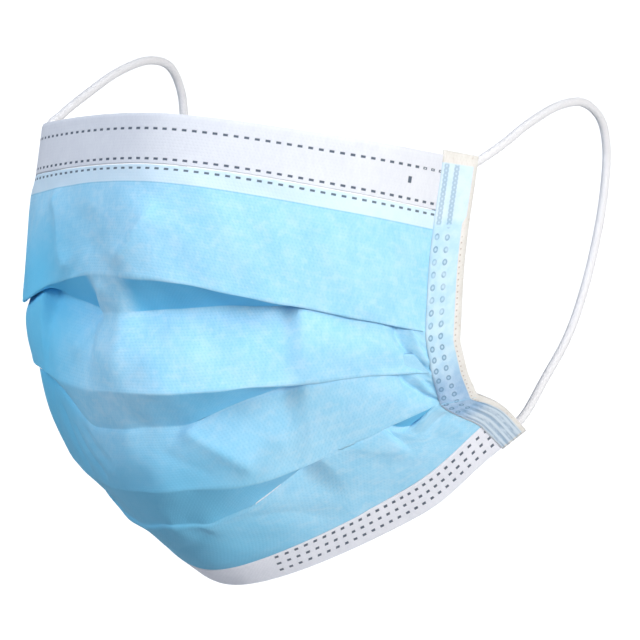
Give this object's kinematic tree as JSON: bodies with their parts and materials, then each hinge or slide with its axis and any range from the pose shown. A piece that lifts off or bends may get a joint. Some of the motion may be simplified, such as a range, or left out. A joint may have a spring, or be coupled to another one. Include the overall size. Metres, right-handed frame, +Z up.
{
  "type": "pleated face mask",
  "caption": "Soft pleated face mask, curved as worn, with a white top band and nose-wire channel, blue front, white lower hem, bound side edges and round elastic ear loops.",
  "frame": {"origin": "middle of the mask's top edge, where it rests on the bridge of the nose", "axes": "+Z up, front of the mask towards -Y, the wearer's left side towards +X"},
  "size_m": [0.133, 0.133, 0.1315],
  "materials": {
    "blue_nonwoven": "matte",
    "white_nonwoven": "matte",
    "binding_nonwoven": "matte",
    "loop_elastic": "matte"
  },
  "bodies": {
    "root": {"top_hem": "white_nonwoven", "outer_panel": "blue_nonwoven", "bottom_hem": "white_nonwoven", "side_binding_left": "binding_nonwoven", "side_binding_right": "binding_nonwoven", "ear_loop_left": "loop_elastic", "ear_loop_right": "loop_elastic"}
  },
  "joints": []
}
